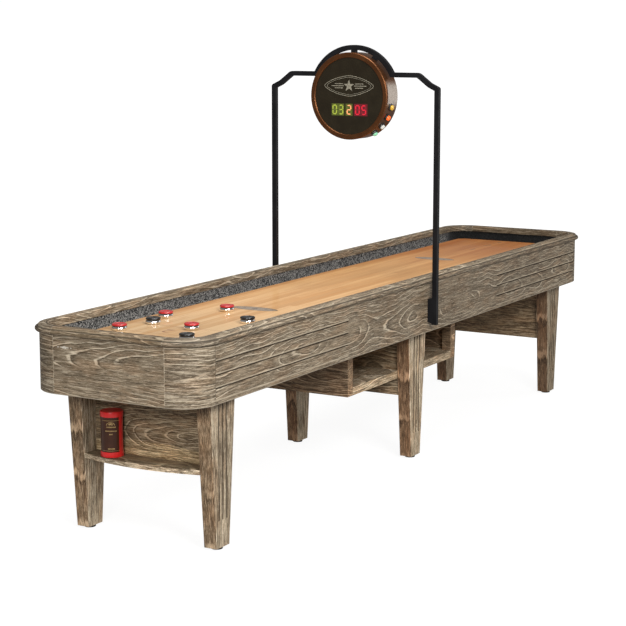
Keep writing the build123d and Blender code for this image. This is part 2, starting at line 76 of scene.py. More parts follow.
# Heights of the rail's quirk and of the worn edge over it, which is also a painted highlight, and how far the
# V line lies inside the outline
RAIL_QUIRK = (RAIL_LOW + 0.0170, RAIL_LOW + 0.0202)
RAIL_WORN_LIT = (RAIL_LOW + 0.0205, RAIL_LOW + 0.0245)
RAIL_VEE = (-0.0285, -0.0235)

# The outer face of a leg leans in by 3 mm over its height, and its flutes are cut into that face
LEG_LEAN = 0.003 / 0.555
LEG_FOOT_FACE = LEG_TOP_FACE - LEG_LEAN * LEG_TOP
FLUTE_DEPTHS = (0.0020, 0.0065)

# Height of the rail boards' heart, and how far outside the cabinet it lies
RAIL_HEART = 0.74
RAIL_HEART_OUT = 0.05

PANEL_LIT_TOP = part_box("leg_panels")[0].z + 0.035
STRIP_WIDTH = 0.0315
STRIP_LENGTH = 1.35


# ---- shader graph helper

class Graph:
    """Short hand for building one node material on Blender's Principled shader."""

    def __init__(self, name, roughness=0.5, metallic=0.0, specular=0.5, coat=0.0, coat_roughness=0.1):
        self.material = bpy.data.materials.new(name)
        self.material.use_nodes = True
        self.tree = self.material.node_tree
        self.shader = self.tree.nodes["Principled BSDF"]
        self.shader.inputs["Roughness"].default_value = roughness
        self.shader.inputs["Metallic"].default_value = metallic
        self.shader.inputs["Specular IOR Level"].default_value = specular
        self.shader.inputs["Coat Weight"].default_value = coat
        self.shader.inputs["Coat Roughness"].default_value = coat_roughness
        self.place = self.tree.nodes.new("ShaderNodeTexCoord").outputs["Object"]

    def node(self, kind, **settings):
        """A new shader node of this kind, with its settings."""
        made = self.tree.nodes.new("ShaderNode" + kind)
        for key, value in settings.items():
            setattr(made, key, value)
        return made

    def plug(self, socket, value):
        """Link a socket or set a plain value."""
        if isinstance(value, bpy.types.NodeSocket):
            self.tree.links.new(value, socket)
        else:
            socket.default_value = value

    def math(self, operation, first, second=0.0, third=0.0, clamp=False):
        made = self.node("Math", operation=operation, use_clamp=clamp)
        for socket, value in zip(made.inputs, (first, second, third)):
            self.plug(socket, value)
        return made.outputs[0]

    def times(self, first, second):
        return self.math("MULTIPLY", first, second)

    def minus(self, first, second):
        return self.math("SUBTRACT", first, second)

    def plus(self, first, second, clamp=False):
        return self.math("ADD", first, second, clamp=clamp)

    def absolute(self, value):
        return self.math("ABSOLUTE", value)

    def split(self, vector):
        made = self.node("SeparateXYZ")
        self.plug(made.inputs[0], vector)
        return made.outputs[0], made.outputs[1], made.outputs[2]

    def join(self, x, y, z):
        made = self.node("CombineXYZ")
        for socket, value in zip(made.inputs, (x, y, z)):
            self.plug(socket, value)
        return made.outputs[0]

    def scaled(self, axes, factors, shift=0.0):
        """The three axis values times their factors, plus one shift."""
        moved = [self.math("MULTIPLY_ADD", axis, factor, shift) for axis, factor in zip(axes, factors)]
        return self.join(*moved)

    def noise(self, vector, scale=1.0, detail=2.0, rough=0.5, distortion=0.0):
        made = self.node("TexNoise")
        for key, value in (("Vector", vector), ("Scale", scale), ("Detail", detail), ("Roughness", rough),
                           ("Distortion", distortion)):
            self.plug(made.inputs[key], value)
        return made.outputs["Fac"]

    def cells(self, vector, scale=1.0):
        made = self.node("TexVoronoi")
        self.plug(made.inputs["Vector"], vector)
        self.plug(made.inputs["Scale"], scale)
        return made

    def step(self, value, low, high, soft=True):
        """0 below low, 1 above high, and smooth between them. low may be the larger one."""
        made = self.node("MapRange", interpolation_type="SMOOTHSTEP" if soft else "LINEAR")
        self.plug(made.inputs["Value"], value)
        flip = low > high
        made.inputs["From Min"].default_value = min(low, high)
        made.inputs["From Max"].default_value = max(low, high)
        made.inputs["To Min"].default_value = 1.0 if flip else 0.0
        made.inputs["To Max"].default_value = 0.0 if flip else 1.0
        return made.outputs["Result"]

    def mix(self, amount, first, second, blend="MIX"):
        made = self.node("Mix", data_type="RGBA", blend_type=blend)
        self.plug(made.inputs[0], amount)
        for socket, value in ((made.inputs[6], first), (made.inputs[7], second)):
            self.plug(socket, value if isinstance(value, bpy.types.NodeSocket) else (*value, 1.0))
        return made.outputs[2]

    def cover(self, shade, colour, mask, amount):
        """Lay a colour over the shade where the mask is 1, by this amount."""
        return self.mix(self.times(mask, amount), shade, colour)

    def length(self, x, y):
        """Distance from the z axis."""
        reach = self.node("VectorMath", operation="LENGTH")
        self.plug(reach.inputs[0], self.join(x, y, 0.0))
        return reach.outputs["Value"]

    def normal(self):
        """The three parts of the surface's direction."""
        return self.split(self.node("NewGeometry").outputs["Normal"])

    def bump(self, height, distance, strength=1.0):
        made = self.node("Bump")
        self.plug(made.inputs["Height"], height)
        made.inputs["Distance"].default_value = distance
        made.inputs["Strength"].default_value = strength
        self.plug(self.shader.inputs["Normal"], made.outputs["Normal"])

    def colour(self, value):
        self.plug(self.shader.inputs["Base Color"], value)
        return self

    def rough(self, value):
        self.plug(self.shader.inputs["Roughness"], value)
        return self


# ---- materials

DARK_GRAIN = (0.062, 0.043, 0.025)
MID_GRAIN = (0.262, 0.200, 0.130)
PALE_GRAIN = (0.66, 0.56, 0.415)


def scaled_colour(colour, factor):
    return [part * factor for part in colour]


# Dark glaze for real pores and joints, also used as painted shade in grooves, flutes and the rail's lines
GLAZE_AND_SHADE = scaled_colour(DARK_GRAIN, 0.6)
DEEP_GLAZE_AND_SHADE = scaled_colour(DARK_GRAIN, 0.5)


def board_axes(graph, grain, heart):
    """Along the grain and the two ways across it, counted from the heart of the log."""
    x, y, z = graph.split(graph.place)
    if grain == "corner":
        side_x = graph.minus(graph.absolute(x), CORNER_X)
        side_y = graph.minus(graph.absolute(y), CORNER_Y)
        angle = graph.math("ARCTAN2", side_x, side_y)
        axes = [graph.times(angle, CORNER_RADIUS), graph.length(side_x, side_y), z]
    else:
        order = {"x": (x, y, z), "y": (y, x, z), "z": (z, y, x)}
        axes = list(order[grain])
    axes[1] = graph.minus(axes[1], heart[0])
    axes[2] = graph.minus(axes[2], heart[1])
    return axes


def weathered_wood(name, grain, heart, seed, tone, extra, tint=(1.0, 1.0, 1.0), sweep=0.30):
    """Limed grey-brown oak: cathedral grain that wanders by sweep, short dark flecks and pale filled pores.

    grain is the direction it runs in, heart the place of the log's middle across it, and extra adds the
    glaze, wear, painted shade and painted highlights that belong to the board's own shape.
    """
    graph = Graph(name, specular=0.3)
    axes = board_axes(graph, grain, heart)

    def layer(along, across, shift, detail=3.0, rough=0.6):
        spots = graph.scaled(axes, (along, across, across), seed + shift)
        return graph.noise(spots, detail=detail, rough=rough)

    depth = graph.math("MULTIPLY_ADD", layer(1.3, 1.0, 0.0, 1.5), sweep, -0.3 * sweep)
    wide = graph.math("MULTIPLY_ADD", graph.minus(layer(3.0, 2.0, 7.3, 2.0), 0.5), 0.3 * sweep, axes[2])
    radius = graph.math("SQRT", graph.plus(graph.times(depth, depth), graph.times(wide, wide)))
    rings = graph.math("MULTIPLY_ADD", radius, 70.0, graph.times(layer(6.0, 34.0, 2.0), 0.55))
    ring = graph.math("FRACT", rings)

    patch = graph.step(layer(1.8, 12.0, 3.0), 0.36, 0.64)
    shade = graph.mix(patch, scaled_colour(MID_GRAIN, 0.74), scaled_colour(MID_GRAIN, 1.12))
    streak = layer(5.0, 85.0, 13.0, 4.0, 0.65)
    shade = graph.cover(shade, DARK_GRAIN, graph.step(streak, 0.48, 0.36), 0.52)
    shade = graph.cover(shade, PALE_GRAIN, graph.step(streak, 0.54, 0.66), 0.34)
    shade = graph.cover(shade, DARK_GRAIN, graph.step(ring, 0.35, 0.95), 0.22)
    figure = layer(1.6, 8.0, 23.0, 2.0)
    late = graph.times(graph.step(ring, 0.84, 0.93), graph.step(figure, 0.40, 0.54))
    shade = graph.cover(shade, DARK_GRAIN, late, 0.70)
    early = graph.times(graph.step(ring, 0.20, 0.12), graph.step(ring, 0.0, 0.05))
    shade = graph.cover(shade, PALE_GRAIN, graph.times(early, graph.step(figure, 0.42, 0.55)), 0.95)
    fleck = layer(14.0, 220.0, 11.0, 4.0, 0.80)
    shade = graph.cover(shade, DARK_GRAIN, graph.step(fleck, 0.49, 0.39), 0.90)
    shade = graph.cover(shade, PALE_GRAIN, graph.step(fleck, 0.53, 0.64), 0.72)
    pore = layer(60.0, 560.0, 5.0, 2.0, 0.7)
    shade = graph.cover(shade, PALE_GRAIN, graph.step(pore, 0.56, 0.70), 0.45)
    shade = graph.cover(shade, GLAZE_AND_SHADE, graph.step(pore, 0.44, 0.30), 0.65)
    warmth = graph.step(layer(7.0, 22.0, 31.0), 0.46, 0.62)
    shade = graph.mix(warmth, shade, (1.03, 0.95, 0.89), "MULTIPLY")
    shade = extra(graph, axes, shade)
    graph.colour(graph.mix(1.0, shade, scaled_colour(tint, tone), "MULTIPLY"))
    height = graph.plus(graph.times(streak, 0.4), graph.times(fleck, 0.6))
    graph.bump(height, 0.0006, 0.8)
    graph.rough(graph.math("MULTIPLY_ADD", fleck, 0.3, 0.46))
    return graph.material


def outward(graph):
    """How far a point lies outside the cabinet's rounded outline, seen from above."""
    x, y, _ = graph.split(graph.place)
    past_x = graph.math("MAXIMUM", graph.minus(graph.absolute(x), CORNER_X), 0.0)
    past_y = graph.math("MAXIMUM", graph.minus(graph.absolute(y), CORNER_Y), 0.0)
    return graph.minus(graph.length(past_x, past_y), CORNER_RADIUS)


def between(graph, value, ends, soft=0.0006):
    """1 between the two ends, fading to 0 outside."""
    low, high = ends
    return graph.times(graph.step(value, low - soft, low + soft), graph.step(value, high + soft, high - soft))


def rail_shade_and_wear(graph, axes, shade):
    """Painted shade in the rail's quirk and V line, a painted shadow along its lower outer edge, and worn
    pale edges beside them that are also painted highlights.
    """
    z = graph.split(graph.place)[2]
    out = outward(graph)
    outer = graph.step(out, 0.0, 0.002)
    # Painted shade in the quirk and the V line, and a painted shadow along the rail's lower outer edge
    quirk = graph.times(between(graph, z, RAIL_QUIRK), outer)
    on_top = graph.step(z, RAIL_TOP - 0.005, RAIL_TOP - 0.004)
    top_line = graph.times(between(graph, out, RAIL_VEE), on_top)
    edge = graph.times(between(graph, z, RAIL_WORN_LIT), outer)
    foot = graph.times(graph.step(z, RAIL_LOW + 0.004, RAIL_LOW), outer)
    shade = graph.cover(shade, PALE_GRAIN, edge, 0.30)
    lines = graph.math("MAXIMUM", graph.math("MAXIMUM", quirk, top_line), foot)
    return graph.cover(shade, GLAZE_AND_SHADE, lines, 0.72)


def worn_and_lit_foot(graph, axes, shade):
    """Pale worn arris along the lower edge of an apron board, which is also a painted highlight of the
    floor's light.
    """
    z = graph.split(graph.place)[2]
    edge = graph.step(z, APRON_LOW + 0.0045, APRON_LOW + 0.003)
    return graph.cover(shade, PALE_GRAIN, edge, 0.60)


def seam_lines(graph, axes, shade):
    """Filler showing where a corner block meets its end board, and a dark line at its side board."""
    end_seam = graph.absolute(graph.minus(axes[0], CORNER_RADIUS * pi / 2))
    side_seam = graph.absolute(axes[0])
    patchy = graph.noise(graph.scaled(axes, (0.0, 0.0, 130.0)), detail=2.0)
    filler = graph.times(graph.step(end_seam, 0.0036, 0.0018), graph.step(patchy, 0.36, 0.56))
    shade = graph.cover(shade, PALE_GRAIN, filler, 0.62)
    return graph.cover(shade, DEEP_GLAZE_AND_SHADE, graph.step(side_seam, 0.003, 0.001), 0.7)


def corner_finish(graph, axes, shade):
    """Seams, and a worn lower edge that is also a painted highlight."""
    return worn_and_lit_foot(graph, axes, seam_lines(graph, axes, shade))


def rail_corner_finish(graph, axes, shade):
    """Seams, and the rail's painted shade lines and worn edges that are also painted highlights."""
    return rail_shade_and_wear(graph, axes, seam_lines(graph, axes, shade))


def groove_shade_and_wear(graph, axes, shade):
    """Painted shade in the grooves of the side boards, under a pale worn lip that is also a painted
    highlight.
    """
    x, y, z = graph.split(graph.place)
    y = graph.absolute(y)
    count = graph.math("DIVIDE", graph.minus(z, APRON_LOW + GROOVE_FIRST), GROOVE_PITCH)
    above = graph.times(graph.minus(count, graph.math("ROUND", count)), GROOVE_PITCH)
    in_run = graph.step(graph.absolute(x), GROOVE_START - 0.001, GROOVE_START)
    under_top = graph.step(z, GROOVE_RUN_TOP + 0.1 * GROOVE_PITCH, GROOVE_RUN_TOP)
    # Pale worn lip over each groove, also a painted highlight; painted shade inside the grooves below
    lip = graph.times(between(graph, above, GROOVE_LIP, 0.001), graph.times(in_run, under_top))
    shade = graph.cover(shade, PALE_GRAIN, lip, 0.50)
    sunk = graph.step(y, SIDE_FACE - 0.0006, SIDE_FACE - 0.0016)
    shade = graph.cover(shade, DEEP_GLAZE_AND_SHADE, sunk, 0.85)
    return worn_and_lit_foot(graph, axes, shade)


def leg_flute_and_side_shade(side_shade_colour):
    """Painted shade in the flutes of a leg, whose outer face leans, and redder painted shade on its faces
    that look along the table.
    """
    def finish(graph, axes, shade):
        _, y, z = graph.split(graph.place)
        face = graph.math("MULTIPLY_ADD", z, LEG_LEAN, LEG_FOOT_FACE)
        depth = graph.minus(face, graph.absolute(y))
        x_facing = graph.step(graph.absolute(graph.normal()[0]), 0.985, 0.994)
        flat_face = graph.step(x_facing, 0.6, 0.4)
        # Painted shade in the flutes, and on the faces that look along the table
        sunk = graph.times(between(graph, depth, FLUTE_DEPTHS, 0.0008), flat_face)
        shade = graph.cover(shade, GLAZE_AND_SHADE, sunk, 0.85)
        return graph.mix(x_facing, shade, side_shade_colour, "MULTIPLY")
    return finish


def panel_lit_foot(graph, axes, shade):
    """Painted light along the near panel's lower edge, where the lights reach under the end board's shadow,
    and a darker far panel.
    """
    x, _, z = graph.split(graph.place)
    wave = graph.noise(graph.scaled(axes, (4.0, 1.0, 1.0), 9.0), detail=2.0)
    level = graph.math("MULTIPLY_ADD", wave, 0.06, PANEL_LIT_TOP)
    # Painted light on the near panel below a wavy line
    low = graph.step(graph.minus(z, level), 0.006, -0.004)
    near = graph.step(x, -1.0, -1.1)
    shade = graph.mix(graph.times(low, near), shade, (2.0, 2.0, 1.85), "MULTIPLY")
    return graph.mix(graph.step(x, 0.5, 0.6), shade, (0.90, 0.86, 0.82), "MULTIPLY")


def lit_box_edges(graph, axes, shade):
    """Painted light on the storage box's edges that face the sides of the table: their lit faces made paler.
    """
    side = graph.step(graph.absolute(graph.normal()[1]), 0.8, 0.95)
    return graph.mix(side, shade, (1.55, 1.50, 1.42), "MULTIPLY")


def shelf_top_shade(graph, axes, shade):
    """Painted shade on the open top of a shelf, above its paler front edge."""
    up = graph.step(graph.normal()[2], 0.5, 0.9)
    return graph.mix(up, shade, (0.42, 0.40, 0.36), "MULTIPLY")


def plain_timber():
    """Unfinished structural timber inside the cabinet."""
    graph = Graph("bearer_timber", roughness=0.75, specular=0.25)
    axes = graph.split(graph.place)
    grain = graph.noise(graph.scaled(axes, (40.0, 3.0, 90.0)), detail=4.0)
    graph.colour(graph.mix(graph.step(grain, 0.3, 0.7), (0.42, 0.29, 0.17), (0.60, 0.46, 0.30)))
    graph.bump(grain, 0.0006, 0.5)
    return graph.material


def maple():
    """Long glued maple strips under clear polymer, paler near, more orange at the edges and far end, with
    painted shade darkening the far end.
    """
    graph = Graph("maple_board", roughness=0.40, specular=0.18, coat=0.24, coat_roughness=0.05)
    x, y, z = graph.split(graph.place)
    strips = graph.math("DIVIDE", y, STRIP_WIDTH)
    strip = graph.math("FLOOR", strips)
    length = graph.math("FLOOR", graph.plus(graph.math("DIVIDE", x, STRIP_LENGTH), graph.times(strip, 0.617)))
    chance = graph.node("TexWhiteNoise", noise_dimensions="3D")
    graph.plug(chance.inputs["Vector"], graph.join(strip, length, 3.0))
    axes = (x, graph.math("MULTIPLY_ADD", strip, 3.7, z), y)
    grain = graph.noise(graph.scaled(axes, (3.5, 1.0, 150.0)), detail=5.0, rough=0.62, distortion=0.4)
    figure = graph.noise(graph.scaled(axes, (1.1, 1.0, 26.0), 4.0), detail=3.0)
    shade = graph.mix(chance.outputs["Value"], (0.57, 0.325, 0.145), (0.74, 0.48, 0.25))
    shade = graph.cover(shade, (0.42, 0.19, 0.065), graph.step(grain, 0.50, 0.70), 0.75)
    shade = graph.cover(shade, (0.56, 0.27, 0.09), graph.step(figure, 0.48, 0.68), 0.50)
    rim = graph.step(graph.absolute(y), 0.165, 0.235)
    shade = graph.mix(graph.step(x, -1.2, 0.4), shade, (1.10, 0.97, 0.74), "MULTIPLY")
    # Painted shade darkens the far end, along with the amber tint of the edges
    far = graph.step(x, 0.3, 1.5)
    amber = graph.plus(graph.times(rim, 0.35), graph.times(far, 0.90), clamp=True)
    shade = graph.mix(amber, shade, (0.66, 0.42, 0.24), "MULTIPLY")
    shade = graph.mix(graph.step(x, -0.9, -1.5), shade, (0.86, 0.93, 1.0), "MULTIPLY")
    off_middle = graph.absolute(graph.minus(graph.math("FRACT", strips), 0.5))
    graph.colour(graph.cover(shade, (0.34, 0.16, 0.06), graph.step(off_middle, 0.478, 0.497), 0.35))
    return graph.material


def carpet():
    """Short looped carpet, charcoal with paler flecks, and painted shade making it nearly black at the far
    end.
    """
    graph = Graph("carpet_pile", roughness=0.95, specular=0.1)
    graph.shader.inputs["Sheen Weight"].default_value = 0.15
    tufts = graph.cells(graph.place, 250.0)
    fibre = graph.noise(graph.place, 900.0, detail=3.0)
    fleck = graph.math("MULTIPLY_ADD", graph.split(tufts.outputs["Color"])[0], 0.75, graph.times(fibre, 0.35))
    shade = graph.mix(graph.step(fleck, 0.38, 0.90), (0.010, 0.010, 0.010), (0.36, 0.345, 0.32))
    blotch = graph.noise(graph.place, 60.0, detail=2.0)
    shade = graph.cover(shade, (0.030, 0.029, 0.028), graph.step(blotch, 0.4, 0.7), 0.35)
    # Painted shade in the far end's gutter, under the rail
    far_end_shade = graph.step(graph.split(graph.place)[0], FIELD_END - 0.03, FIELD_END + 0.06)
    graph.colour(graph.cover(shade, (0.006, 0.006, 0.006), far_end_shade, 0.95))
    graph.bump(graph.minus(1.0, tufts.outputs["Distance"]), 0.0025, 0.9)
    return graph.material


def painted_metal(name, colour, roughness=0.5, specular=0.14):
    """Powder coat with a faint orange peel."""
    graph = Graph(name, roughness=roughness, specular=specular)
    peel = graph.noise(graph.place, 700.0, detail=2.0)
    cloud = graph.noise(graph.place, 14.0, detail=3.0)
    graph.colour(graph.mix(graph.step(cloud, 0.3, 0.7), colour, [c * 1.35 + 0.002 for c in colour]))
    graph.bump(peel, 0.00004, 0.3)
    return graph.material


def zinc():
    """Dull zinc plate on the fastenings."""
    graph = Graph("zinc_plate", metallic=1.0)
    cloud = graph.noise(graph.place, 90.0, detail=4.0)
    graph.colour(graph.mix(cloud, (0.52, 0.53, 0.55), (0.74, 0.74, 0.72)))
    graph.rough(graph.math("MULTIPLY_ADD", cloud, 0.3, 0.2))
    return graph.material


def bronze(name, painted_highlight=False):
    """Antique bronze brushed round the drum, with a pale steel-coloured painted highlight on the band's
    button side.
    """
    graph = Graph(name, metallic=0.8)
    x, y, z = graph.split(graph.place)
    up = graph.minus(z, DRUM_Z)
    angle = graph.math("ARCTAN2", y, up)
    reach = graph.math("SQRT", graph.plus(graph.times(y, y), graph.times(up, up)))
    lines = graph.noise(graph.join(graph.times(x, 900.0), graph.times(reach, 900.0),
                                   graph.times(angle, 1.4)), detail=3.0)
    cloud = graph.noise(graph.place, 22.0, detail=4.0)
    shade = graph.mix(graph.step(cloud, 0.3, 0.7), (0.105, 0.036, 0.011), (0.150, 0.055, 0.018))
    shade = graph.cover(shade, (0.22, 0.100, 0.040), graph.step(lines, 0.45, 0.7), 0.35)
    if painted_highlight:
        # Painted highlight: the band's reflection of a light, on its button side
        level = graph.times(graph.math("DIVIDE", up, reach), graph.step(y, 0.0, -0.01))
        painted_glint = graph.times(between(graph, level, (-0.22, 0.30), 0.10), graph.step(y, -0.10, -0.14))
        shade = graph.cover(shade, (0.42, 0.37, 0.32), painted_glint, 0.85)
    graph.colour(shade)
    graph.rough(graph.math("MULTIPLY_ADD", lines, 0.22, 0.24))
    graph.bump(lines, 0.0001, 0.4)
    return graph.material


def chrome():
    """Polished steel with faint smudges."""
    graph = Graph("polished_steel", metallic=1.0)
    smudge = graph.noise(graph.place, 160.0, detail=4.0)
    graph.colour(graph.mix(smudge, (0.80, 0.80, 0.82), (0.92, 0.92, 0.93)))
    graph.rough(graph.math("MULTIPLY_ADD", smudge, 0.10, 0.03))
    return graph.material


def plastic(name, colour, roughness=0.25, coat=0.3, glow=0.0):
    """Moulded plastic with slight colour drift and a soft moulding texture."""
    graph = Graph(name, roughness=roughness, coat=coat, coat_roughness=0.08)
    drift = graph.noise(graph.place, 45.0, detail=3.0)
    graph.colour(graph.mix(drift, scaled_colour(colour, 0.86), [min(1.0, c * 1.10) for c in colour]))
    graph.bump(graph.noise(graph.place, 1500.0, detail=2.0), 0.00005, 0.4)
    if glow:
        graph.shader.inputs["Emission Color"].default_value = (*colour, 1.0)
        graph.shader.inputs["Emission Strength"].default_value = glow
    return graph.material


def printed_face():
    """Dark smoked face behind clear acrylic."""
    graph = Graph("smoked_face", roughness=0.42, specular=0.15, coat=0.10, coat_roughness=0.15)
    vein = graph.noise(graph.place, 18.0, detail=6.0, rough=0.6)
    graph.colour(graph.mix(graph.step(vein, 0.35, 0.7), (0.015, 0.011, 0.0055), (0.020, 0.0152, 0.0078)))
    return graph.material


def circuit():
    """Green lacquer over square tracks."""
    graph = Graph("circuit_lacquer", roughness=0.4, coat=0.3)
    tracks = graph.cells(graph.place, 260.0)
    tracks.distance = "CHEBYCHEV"
    track = graph.step(tracks.outputs["Distance"], 0.35, 0.45)
    graph.colour(graph.mix(track, (0.02, 0.14, 0.05), (0.05, 0.28, 0.10)))
    return graph.material


def label_card(centre):
    """Dark brown printed card that leaves a red strip down one side of the tube."""
    graph = Graph("label_card", roughness=0.33, specular=0.3, coat=0.15, coat_roughness=0.12)
    x, y, z = graph.split(graph.place)
    angle = graph.math("ARCTAN2", graph.minus(y, centre.y), graph.minus(x, centre.x))
    cloud = graph.noise(graph.place, 50.0, detail=4.0)
    brown = graph.mix(cloud, (0.036, 0.012, 0.006), (0.085, 0.028, 0.012))
    red = graph.mix(cloud, (0.50, 0.010, 0.012), (0.72, 0.022, 0.022))
    strip = graph.step(graph.absolute(graph.plus(angle, 1.45)), 0.38, 0.36)
    graph.colour(graph.mix(strip, brown, red))
    return graph.material


def gilt():
    """Gold printing ink."""
    graph = Graph("gilt_ink", roughness=0.35, metallic=0.6)
    cloud = graph.noise(graph.place, 400.0, detail=3.0)
    graph.colour(graph.mix(cloud, (0.50, 0.30, 0.10), (0.72, 0.52, 0.24)))
    return graph.material


def faded_ink(name, colour):
    """Printing ink worn paler in patches, under lacquer."""
    graph = Graph(name, roughness=0.35, coat=0.5, coat_roughness=0.08)
    wear = graph.noise(graph.place, 260.0, detail=4.0)
    graph.colour(graph.mix(graph.step(wear, 0.3, 0.75), colour, [min(1.0, c * 1.8 + 0.03) for c in colour]))
    return graph.material


# ---- mesh helpers

OVAL_POWER = 1.35


def add_object(name, data):
    """A new object in the scene."""
    piece = bpy.data.objects.new(name, data)
    bpy.context.scene.collection.objects.link(piece)
    return piece


def finish_mesh(bm, name, material, body, sharp=35.0):
    """Turn the mesh being built into an object that rides a body, with its material."""
    bmesh.ops.recalc_face_normals(bm, faces=bm.faces)
    mesh = bpy.data.meshes.new(name)
    bm.to_mesh(mesh)
    bm.free()
    mesh.shade_smooth()
    mesh.set_sharp_from_angle(angle=radians(sharp))
    mesh.materials.append(material)
    piece = add_object(name, mesh)
    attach(piece, body)
    return piece


def frame_from(origin, axis):
    """A placement whose local z runs along the axis."""
    turn = Vector((0, 0, 1)).rotation_difference(Vector(axis).normalized()).to_matrix().to_4x4()
    return Matrix.Translation(Vector(origin)) @ turn


def lathe(bm, outline, placement, segments):
    """A closed outline of (radius, height) points turned round the placement's z axis."""
    rings = []
    for radius, height in outline:
        if radius == 0:
            rings.append([bm.verts.new(placement @ Vector((0, 0, height)))])
            continue
        ring = []
        for step in range(segments):
            angle = 2 * pi * step / segments
            ring.append(bm.verts.new(placement @ Vector((radius * cos(angle), radius * sin(angle), height))))
        rings.append(ring)
    for low, high in zip(rings, rings[1:] + rings[:1]):
        if len(low) == 1 and len(high) == 1:
            continue
        for step in range(segments):
            after = (step + 1) % segments
            corners = [low[step % len(low)], low[after % len(low)],
                       high[after % len(high)], high[step % len(high)]]
            corners = list(dict.fromkeys(corners))
            if len(corners) > 2:
                bm.faces.new(corners)


def turned(name, outline, placement, material, body, segments=96, sharp=35.0):
    """A whole piece turned on a lathe."""
    bm = bmesh.new()
    lathe(bm, outline, placement, segments)
    return finish_mesh(bm, name, material, body, sharp)


def prism(bm, points, placement, low, high):
    """A flat polygon given thickness along the placement's z axis."""
    lower, upper = ([bm.verts.new(placement @ Vector((x, y, z))) for x, y in points] for z in (low, high))
    bm.faces.new(lower)
    bm.faces.new(upper)
    for step in range(len(points)):
        after = (step + 1) % len(points)
        bm.faces.new((lower[step], lower[after], upper[after], upper[step]))


def bar(bm, x_ends, y_ends, placement, low, high):
    """A box over a rectangle."""
    (left, right), (under, over) = x_ends, y_ends
    prism(bm, [(left, under), (right, under), (right, over), (left, over)], placement, low, high)


def band(bm, points, width, placement, low, high, closed=True):
    """A line of even width along the points, with mitred corners and a thickness."""
    points = [Vector(point) for point in points]
    count = len(points)
    inner = []
    outer = []
    for step, point in enumerate(points):
        ways = []
        if closed or step:
            ways.append((point - points[step - 1]).normalized())
        if closed or step < count - 1:
            ways.append((points[(step + 1) % count] - point).normalized())
        normals = [Vector((-way.y, way.x)) for way in ways]
        mitre = sum(normals, Vector((0, 0))).normalized()
        reach = width / 2 / max(0.35, mitre.dot(normals[0]))
        inner.append(point - mitre * reach)
        outer.append(point + mitre * reach)
    last = count if closed else count - 1
    for step in range(last):
        after = (step + 1) % count
        prism(bm, [inner[step], inner[after], outer[after], outer[step]], placement, low, high)


def circle_points(radius, count, centre):
    """A circle as a polygon."""
    turns = [2 * pi * step / count for step in range(count)]
    return [(centre[0] + radius * cos(turn), centre[1] + radius * sin(turn)) for turn in turns]


def oval(half_x, half_y, power_x, power_y, count):
    """An oval that a power over 1 pinches, and one under 1 fills out, along that axis."""
    points = []
    for step in range(count):
        turn = 2 * pi * step / count
        x, y = cos(turn), sin(turn)
        points.append((copysign(half_x * abs(x) ** power_x, x), copysign(half_y * abs(y) ** power_y, y)))
    return points


def field_oval(half_x, half_y):
    """The mark on the board, whose y ends come to soft points."""
    return oval(half_x, half_y, OVAL_POWER, 1 / OVAL_POWER, 64)


def star_points(outer, inner, count):
    """A star with one point straight up."""
    points = []
    for step in range(2 * count):
        radius = outer if step % 2 == 0 else inner
        angle = pi * step / count
        points.append((radius * sin(angle), radius * cos(angle)))
    return points


# ---- CAD nodes get their materials

def dress(material, *names):
    """Give CAD nodes a material in place of their plain one."""
    for name in names:
        piece = NODES[name]
        piece.data.materials.clear()
        piece.data.materials.append(material)


def dress_oak(node, name, *grain_and_tone, **more):
    """One node in weathered oak."""
    dress(weathered_wood(f"oak_{name}", *grain_and_tone, **more), node)


